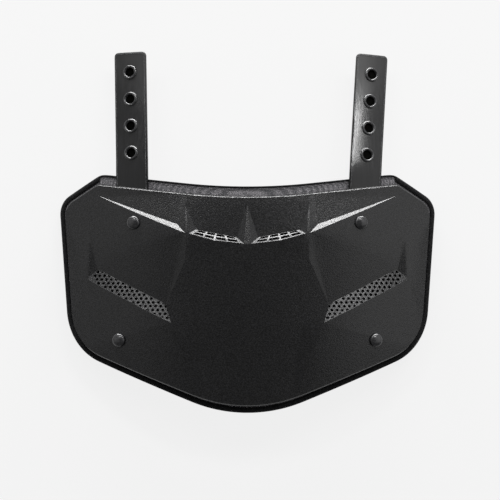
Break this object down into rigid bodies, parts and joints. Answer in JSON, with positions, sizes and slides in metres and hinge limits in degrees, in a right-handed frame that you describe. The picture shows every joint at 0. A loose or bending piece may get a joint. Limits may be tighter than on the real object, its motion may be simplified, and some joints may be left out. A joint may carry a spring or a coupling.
{
  "type": "football back plate",
  "caption": "Curved moulded shell with vented ledges on a taped foam pad, with two eyeleted straps for hanging it below shoulder pads.",
  "frame": {"origin": "centre of the footprint, on the surface it lies on", "axes": "+X to the right of the plate as seen from outside, +Y toward the strap tips, +Z out of the plate, away from the back"},
  "size_m": [0.357, 0.337, 0.0768],
  "materials": {
    "plate_plastic": "satin with a fine leather grain",
    "pad_mesh": "grey mesh cloth over foam",
    "edge_tape": "woven black tape",
    "strap_leather": "smooth black, brushed sheen",
    "ring_metal": "glossy black",
    "rivet_metal": "glossy black"
  },
  "bodies": {
    "root": {"plate": "plate_plastic", "pad": "pad_mesh", "binding": "edge_tape", "strap_left": "strap_leather", "strap_right": "strap_leather", "eyelet_left_1": "ring_metal", "eyelet_left_2": "ring_metal", "eyelet_left_3": "ring_metal", "eyelet_left_4": "ring_metal", "eyelet_right_1": "ring_metal", "eyelet_right_2": "ring_metal", "eyelet_right_3": "ring_metal", "eyelet_right_4": "ring_metal", "rivet_upper_left": "rivet_metal", "rivet_upper_right": "rivet_metal", "rivet_lower_left": "rivet_metal", "rivet_lower_right": "rivet_metal"}
  },
  "joints": []
}
